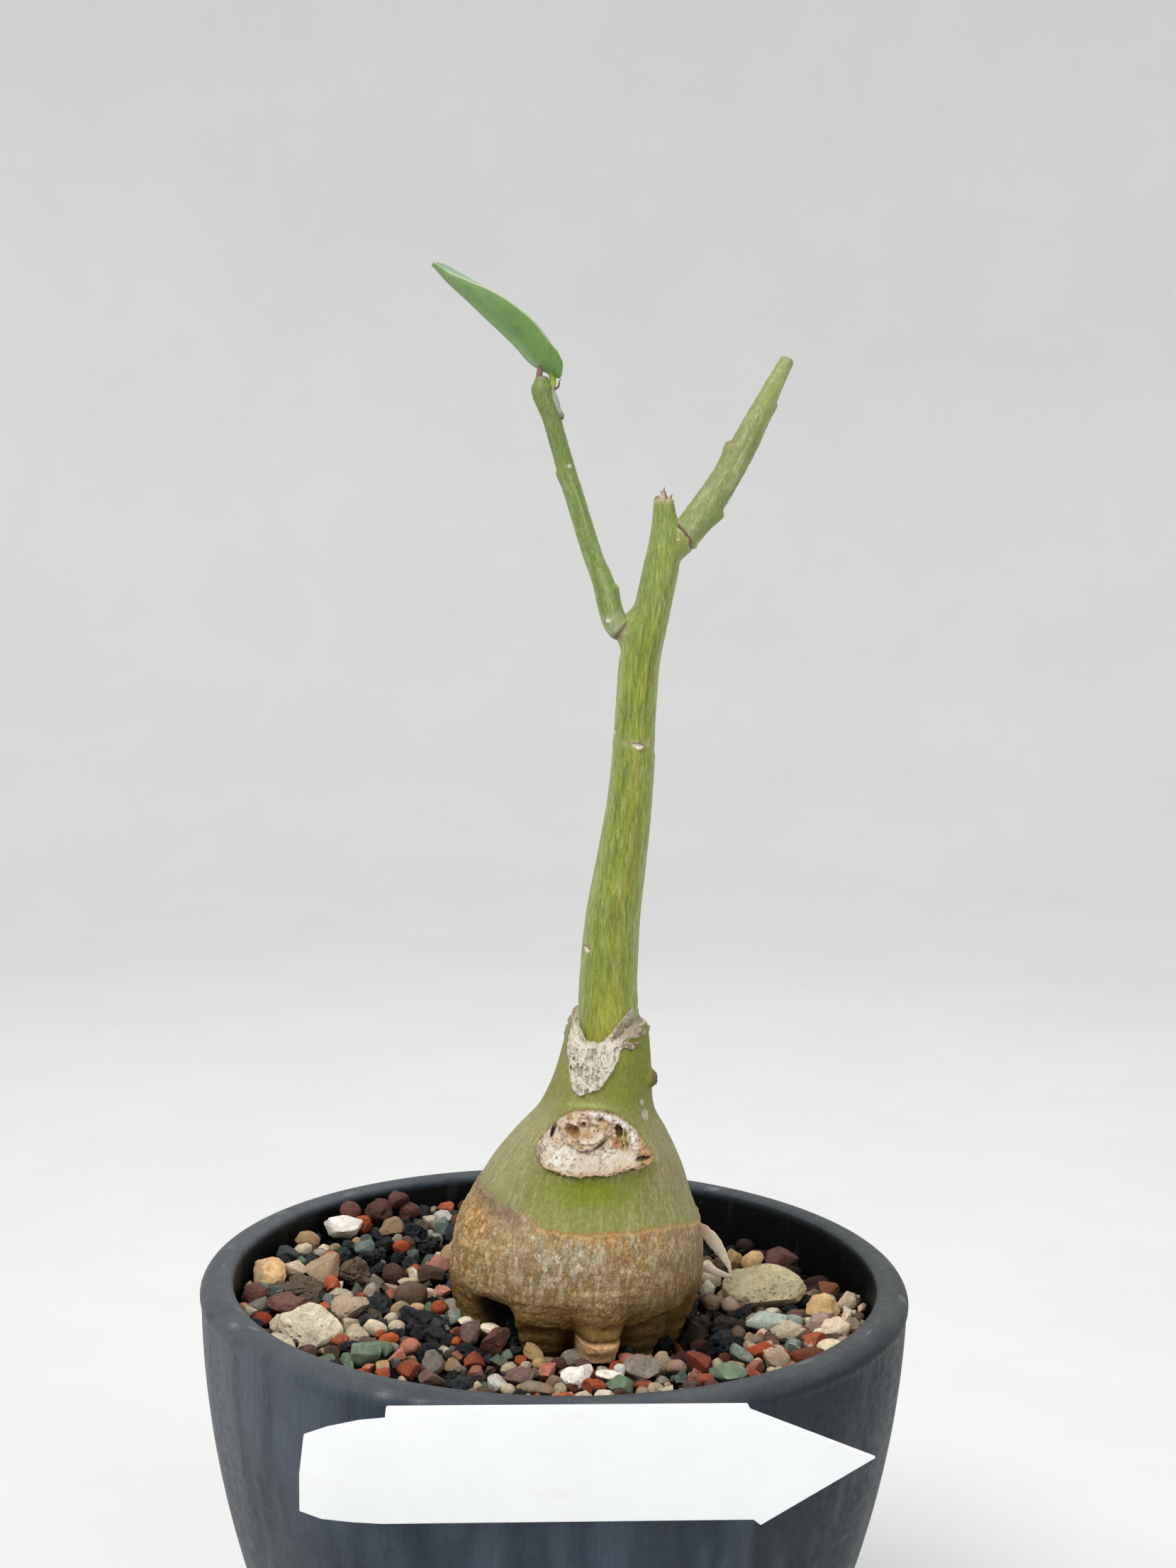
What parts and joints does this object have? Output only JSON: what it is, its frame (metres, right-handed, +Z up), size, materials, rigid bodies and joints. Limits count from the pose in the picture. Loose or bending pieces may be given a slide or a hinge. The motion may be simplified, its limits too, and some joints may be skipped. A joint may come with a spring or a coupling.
{
  "type": "potted adenia",
  "caption": "Grafted caudex plant with a swollen base, a slim stem that forks, and a folded leaf, in a round plastic pot of mixed gravel with a blank arrow label.",
  "frame": {"origin": "centre of the pot's underside", "axes": "+Z up along the pot's axis, -Y towards the front that the label and the old cut face, +X to the right seen from the front"},
  "size_m": [0.105, 0.1061, 0.2271],
  "materials": {
    "pot_plastic": "dark grey moulded plastic, lightly scuffed",
    "gravel_mix": "dry broken stone in mixed colours",
    "caudex_bark": "wrinkled tan bark, green towards the top",
    "stem_bark": "green living bark with fine grey streaks",
    "branch_left_bark": "green living bark",
    "branch_right_bark": "pale green living bark",
    "leaf_blade": "smooth thick green leaf",
    "label_plastic": "plain white plastic"
  },
  "bodies": {
    "root": {"pot": "pot_plastic", "gravel": "gravel_mix", "caudex": "caudex_bark", "stem": "stem_bark", "branch_left": "branch_left_bark", "branch_right": "branch_right_bark", "leaf": "leaf_blade", "plant_label": "label_plastic"}
  },
  "joints": []
}
